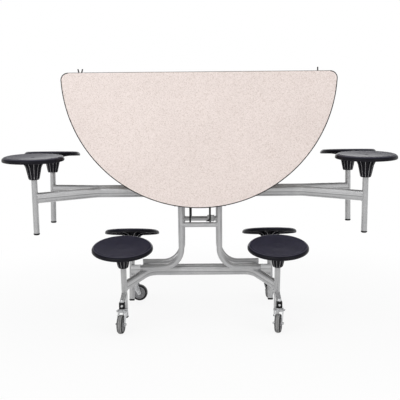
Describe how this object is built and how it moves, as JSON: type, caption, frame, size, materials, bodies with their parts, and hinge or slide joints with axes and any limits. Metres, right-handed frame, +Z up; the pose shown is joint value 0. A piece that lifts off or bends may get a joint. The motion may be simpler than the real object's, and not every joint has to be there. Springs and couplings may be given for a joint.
{
  "type": "mobile cafeteria table",
  "caption": "Round folding cafeteria table with attached dark stools, folded upright on swivel casters for rolling.",
  "frame": {"origin": "on the floor, midway between the two folded halves", "axes": "+X along the folded top's straight edges, to the viewer's right in the picture; +Y from the front half to the rear half; +Z up"},
  "size_m": [2.096, 0.8696, 1.3995],
  "materials": {
    "speckled_laminate": "satin, fine speckle",
    "board": "raw",
    "black_edge": "satin",
    "silver_paint": "metallic satin",
    "black_steel": "satin",
    "stool_plastic": "fine texture",
    "zinc": "zinc plated",
    "tyre_rubber": "matte",
    "wheel_plastic": "satin",
    "glide_plastic": "matte",
    "pin_steel": "bright"
  },
  "bodies": {
    "spine": {"centre_spine": "black_steel", "hinge_plates": "black_steel", "hinge_pins": "pin_steel"},
    "front_top": {"front_core": "board", "front_laminate": "speckled_laminate", "front_edge_band": "black_edge", "front_rails": "black_steel", "front_brackets": "black_steel", "front_pivot_pins": "pin_steel", "front_align_pins": "black_steel"},
    "front_short_frame": {"front_short_beam": "silver_paint", "front_short_uprights": "silver_paint", "front_short_posts": "silver_paint", "front_caster_blocks": "glide_plastic", "front_short_left_stool": "stool_plastic", "front_short_right_stool": "stool_plastic", "front_short_glides": "glide_plastic", "front_torsion_bar": "black_steel"},
    "front_long_frame": {"front_long_beam": "silver_paint", "front_long_uprights": "silver_paint", "front_long_posts": "silver_paint", "front_long_left_stool": "stool_plastic", "front_long_right_stool": "stool_plastic", "front_long_glides": "glide_plastic"},
    "front_links_body": {"front_links": "black_steel"},
    "rear_top": {"rear_core": "board", "rear_laminate": "speckled_laminate", "rear_edge_band": "black_edge", "rear_rails": "black_steel", "rear_brackets": "black_steel", "rear_pivot_pins": "pin_steel"},
    "rear_short_frame": {"rear_short_beam": "silver_paint", "rear_short_uprights": "silver_paint", "rear_short_posts": "silver_paint", "rear_caster_blocks": "glide_plastic", "rear_short_left_stool": "stool_plastic", "rear_short_right_stool": "stool_plastic", "rear_short_glides": "glide_plastic", "rear_torsion_bar": "black_steel", "rear_catch_plate": "zinc", "rear_catch_hook": "black_steel"},
    "rear_long_frame": {"rear_long_beam": "silver_paint", "rear_long_uprights": "silver_paint", "rear_long_posts": "silver_paint", "rear_long_left_stool": "stool_plastic", "rear_long_right_stool": "stool_plastic", "rear_long_glides": "glide_plastic"},
    "rear_links_body": {"rear_links": "black_steel"},
    "front_left_caster": {"front_left_fork": "zinc"},
    "front_left_wheel": {"front_left_tyre": "tyre_rubber", "front_left_hub": "wheel_plastic"},
    "front_right_caster": {"front_right_fork": "zinc"},
    "front_right_wheel": {"front_right_tyre": "tyre_rubber", "front_right_hub": "wheel_plastic"},
    "rear_left_caster": {"rear_left_fork": "zinc"},
    "rear_left_wheel": {"rear_left_tyre": "tyre_rubber", "rear_left_hub": "wheel_plastic"},
    "rear_right_caster": {"rear_right_fork": "zinc"},
    "rear_right_wheel": {"rear_right_tyre": "tyre_rubber", "rear_right_hub": "wheel_plastic"}
  },
  "joints": [
    {"name": "front_fold", "type": "hinge", "parent": "spine", "child": "front_top", "pos_m": [0, -0.05, 1.32258], "axis": [-1, 0, 0], "range_deg": [0, 82.7]},
    {"name": "front_short_pivot", "type": "hinge", "parent": "front_top", "child": "front_short_frame", "pos_m": [0, -0.15221, 0.75295], "axis": [1, 0, 0], "range_deg": [0, 70.1]},
    {"name": "front_long_pivot", "type": "hinge", "parent": "front_top", "child": "front_long_frame", "pos_m": [0, -0.09363, 1.21021], "axis": [1, 0, 0], "range_deg": [0, 79.1]},
    {"name": "front_link_pivot", "type": "hinge", "parent": "front_short_frame", "child": "front_links_body", "pos_m": [0, -0.13912, 0.65853], "axis": [-1, 0, 0], "range_deg": [0, 70.04]},
    {"name": "rear_fold", "type": "hinge", "parent": "spine", "child": "rear_top", "pos_m": [0, 0.05, 1.32258], "axis": [1, 0, 0], "range_deg": [0, 82.7]},
    {"name": "rear_short_pivot", "type": "hinge", "parent": "rear_top", "child": "rear_short_frame", "pos_m": [0, 0.15221, 0.75295], "axis": [-1, 0, 0], "range_deg": [0, 70.1]},
    {"name": "rear_long_pivot", "type": "hinge", "parent": "rear_top", "child": "rear_long_frame", "pos_m": [0, 0.09363, 1.21021], "axis": [-1, 0, 0], "range_deg": [0, 79.1]},
    {"name": "rear_link_pivot", "type": "hinge", "parent": "rear_short_frame", "child": "rear_links_body", "pos_m": [0, 0.13912, 0.65853], "axis": [1, 0, 0], "range_deg": [0, 70.04]},
    {"name": "front_left_swivel", "type": "hinge", "parent": "front_short_frame", "child": "front_left_caster", "pos_m": [-0.417, -0.34192, 0.1439], "axis": [0, 0, 1], "continuous": true},
    {"name": "front_left_spin", "type": "hinge", "parent": "front_left_caster", "child": "front_left_wheel", "pos_m": [-0.4209, -0.37368, 0.05], "axis": [0.9925, -0.1219, 0], "continuous": true},
    {"name": "front_right_swivel", "type": "hinge", "parent": "front_short_frame", "child": "front_right_caster", "pos_m": [0.417, -0.34192, 0.1439], "axis": [0, 0, 1], "continuous": true},
    {"name": "front_right_spin", "type": "hinge", "parent": "front_right_caster", "child": "front_right_wheel", "pos_m": [0.40926, -0.37297, 0.05], "axis": [0.9703, -0.2419, 0], "continuous": true},
    {"name": "rear_left_swivel", "type": "hinge", "parent": "rear_short_frame", "child": "rear_left_caster", "pos_m": [-0.417, 0.34192, 0.1439], "axis": [0, 0, 1], "continuous": true},
    {"name": "rear_left_spin", "type": "hinge", "parent": "rear_left_caster", "child": "rear_left_wheel", "pos_m": [-0.38508, 0.33968, 0.05], "axis": [0.0698, 0.9976, 0], "continuous": true},
    {"name": "rear_right_swivel", "type": "hinge", "parent": "rear_short_frame", "child": "rear_right_caster", "pos_m": [0.417, 0.34192, 0.1439], "axis": [0, 0, 1], "continuous": true},
    {"name": "rear_right_spin", "type": "hinge", "parent": "rear_right_caster", "child": "rear_right_wheel", "pos_m": [0.42899, 0.37159, 0.05], "axis": [-0.9272, 0.3746, 0], "continuous": true}
  ],
  "couplings": [
    {"joint": "front_short_pivot", "follows": "front_fold", "ratio": 0.84764},
    {"joint": "front_long_pivot", "follows": "front_fold", "ratio": 0.95647},
    {"joint": "front_link_pivot", "follows": "front_fold", "ratio": 0.84687},
    {"joint": "rear_fold", "follows": "front_fold", "ratio": 1},
    {"joint": "rear_short_pivot", "follows": "front_fold", "ratio": 0.84764},
    {"joint": "rear_long_pivot", "follows": "front_fold", "ratio": 0.95647},
    {"joint": "rear_link_pivot", "follows": "front_fold", "ratio": 0.84687}
  ]
}
